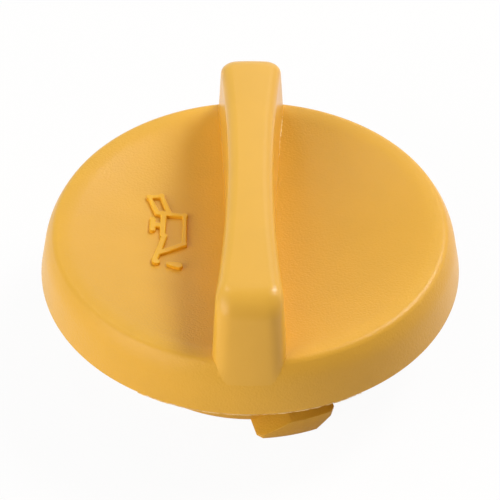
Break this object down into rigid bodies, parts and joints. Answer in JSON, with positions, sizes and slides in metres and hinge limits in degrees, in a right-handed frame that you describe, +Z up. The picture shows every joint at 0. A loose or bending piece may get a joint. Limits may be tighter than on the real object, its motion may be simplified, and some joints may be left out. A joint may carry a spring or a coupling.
{
  "type": "oil filler cap",
  "caption": "Yellow moulded bayonet cap with a dished top, a waisted grip bar, a hollow neck with turning lugs and a rubber sealing ring.",
  "frame": {"origin": "centre of the lower end of the neck, on the plane that the cap rests on", "axes": "+Z up along the cap's axis towards the grip bar; the grip bar runs along Y; -Y is the end of the grip bar nearest the viewer of the picture"},
  "size_m": [0.066, 0.066, 0.0311],
  "materials": {
    "yellow_plastic": "moulded nylon in warm yellow, fine spark-eroded grain on the top and skirt, smoother on the grip bar",
    "black_rubber": "soft black nitrile rubber, dull"
  },
  "bodies": {
    "root": {"cap_moulding": "yellow_plastic", "seal_ring": "black_rubber"}
  },
  "joints": []
}
